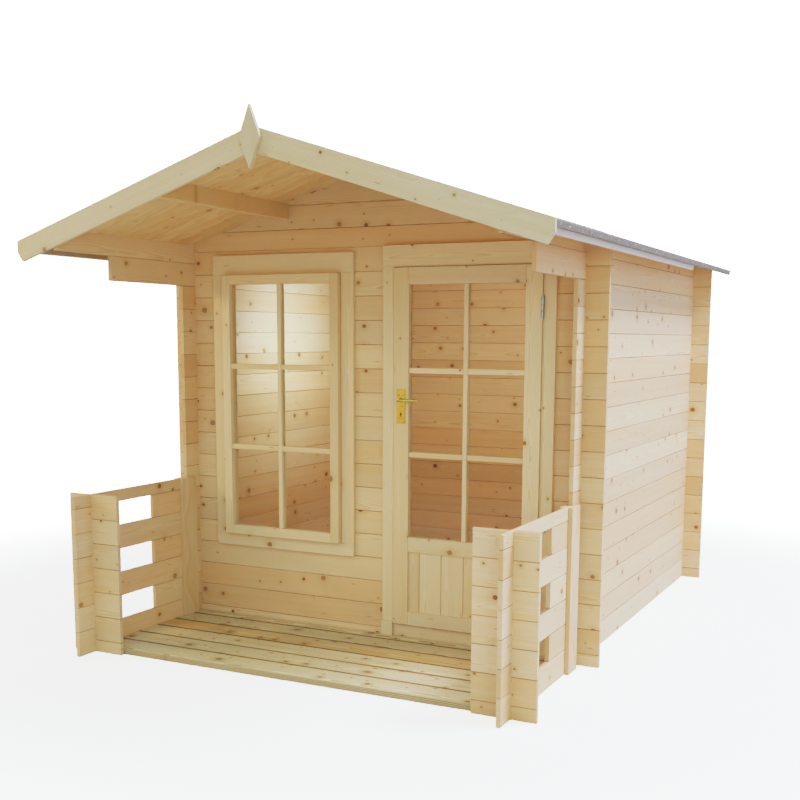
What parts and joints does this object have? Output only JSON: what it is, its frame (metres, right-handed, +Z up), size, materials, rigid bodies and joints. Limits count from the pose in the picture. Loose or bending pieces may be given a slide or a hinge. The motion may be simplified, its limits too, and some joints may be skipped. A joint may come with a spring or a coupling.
{
  "type": "log cabin",
  "caption": "Small garden log cabin with a roofed front porch, open porch rails, a tall fixed window and a glazed door that swings outwards with a lever handle.",
  "frame": {"origin": "on the ground, under the middle of the whole building, roof overhangs included", "axes": "+Z up; +Y from the porch towards the rear wall, so -Y is the front; +X to the right seen from the porch"},
  "size_m": [2.4742, 3.256, 2.3445],
  "materials": {
    "pine": "bare planed softwood",
    "roof_pine": "bare planed softwood in shade",
    "joinery": "bare smooth softwood",
    "pale_board": "bare pale softwood",
    "treated_pine": "pressure treated softwood, faintly green",
    "felt": "mineral roofing felt, matt",
    "glass": "clear",
    "steel": "zinc plated",
    "brass": "polished"
  },
  "bodies": {
    "cabin": {"front_wall_lower": "pine", "front_wall_left": "pine", "front_wall_middle": "pine", "front_wall_right": "pine", "front_wall_head": "pine", "front_gable": "pine", "rear_wall": "pine", "rear_gable": "pine", "left_wall": "pine", "right_wall": "pine", "left_eave_logs": "pine", "right_eave_logs": "pine", "ridge_purlin": "roof_pine", "side_purlins": "roof_pine", "left_roof_boards": "roof_pine", "right_roof_boards": "roof_pine", "left_roof_felt": "felt", "right_roof_felt": "felt", "barge_boards": "pale_board", "eave_boards": "pale_board", "ridge_diamond": "pale_board", "floor_boards": "pine", "floor_bearers": "treated_pine", "porch_deck": "treated_pine", "left_rail_logs": "pine", "left_rail_cross_logs": "pine", "right_rail_logs": "pine", "right_rail_cross_logs": "pine", "rail_battens": "pine", "window_frame": "joinery", "window_boards": "joinery", "window_sash": "joinery", "window_bars": "joinery", "window_glass": "glass", "door_frame": "joinery", "door_boards": "joinery", "door_threshold": "joinery", "hinge_pins": "steel"},
    "door": {"door_leaf": "joinery", "door_bars": "joinery", "door_panel": "joinery", "door_glass": "glass", "hinge_knuckles": "steel", "lock_plates": "brass"},
    "handle": {"lever_handle": "brass"}
  },
  "joints": [
    {"name": "door_hinge", "type": "hinge", "parent": "cabin", "child": "door", "pos_m": [0.85925, -0.6575, 0.9355], "axis": [0, 0, 1], "range_deg": [0, 100]},
    {"name": "handle_lever", "type": "hinge", "parent": "door", "child": "handle", "pos_m": [0.168, -0.651, 1.17], "axis": [0, 1, 0], "range_deg": [0, 40], "stiffness_Nm_per_rad": 1.2, "springref_deg": -20.05}
  ]
}
